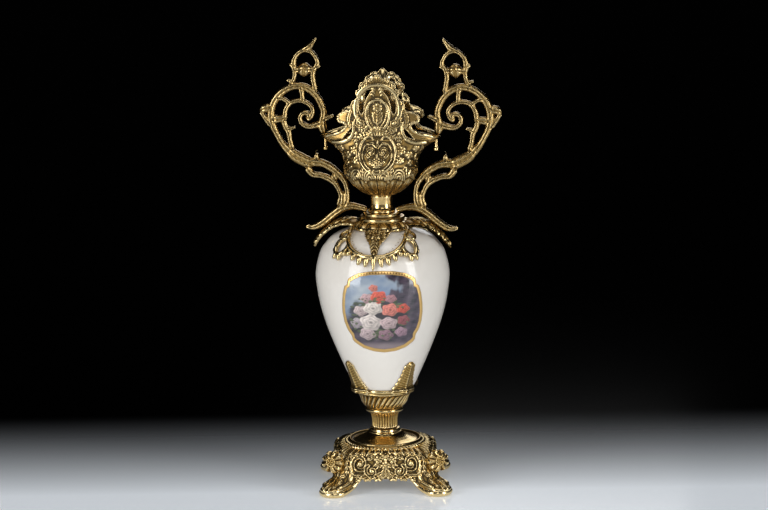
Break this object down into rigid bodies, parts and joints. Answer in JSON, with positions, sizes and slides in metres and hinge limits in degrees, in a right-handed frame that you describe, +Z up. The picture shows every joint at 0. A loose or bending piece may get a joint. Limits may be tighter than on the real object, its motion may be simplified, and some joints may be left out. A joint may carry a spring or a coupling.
{
  "type": "ornamental two-handled vase of gilt brass and porcelain",
  "caption": "Tall garniture vase: pierced square brass foot, fluted stem, porcelain ovoid body with a framed picture, oval crested cup and openwork scroll handles.",
  "frame": {"origin": "middle of the four feet, on the ground", "axes": "+Z up along the vase's axis, front of the vase towards -Y, handles to -X and +X"},
  "size_m": [0.2916, 0.1634, 0.5445],
  "materials": {
    "gilt_cast_brass": "gilt, burnished on the high parts, dark in the recesses",
    "polished_brass": "turned and polished",
    "white_porcelain": "glossy white glaze over porcelain"
  },
  "bodies": {
    "root": {"base_foot": "gilt_cast_brass", "pedestal": "polished_brass", "fluted_stem": "gilt_cast_brass", "calyx": "gilt_cast_brass", "porcelain_body": "white_porcelain", "shoulder_mount": "gilt_cast_brass", "neck": "polished_brass", "cup": "gilt_cast_brass", "handle_left": "gilt_cast_brass", "handle_right": "gilt_cast_brass", "handle_pin_left": "polished_brass", "handle_pin_right": "polished_brass"}
  },
  "joints": []
}
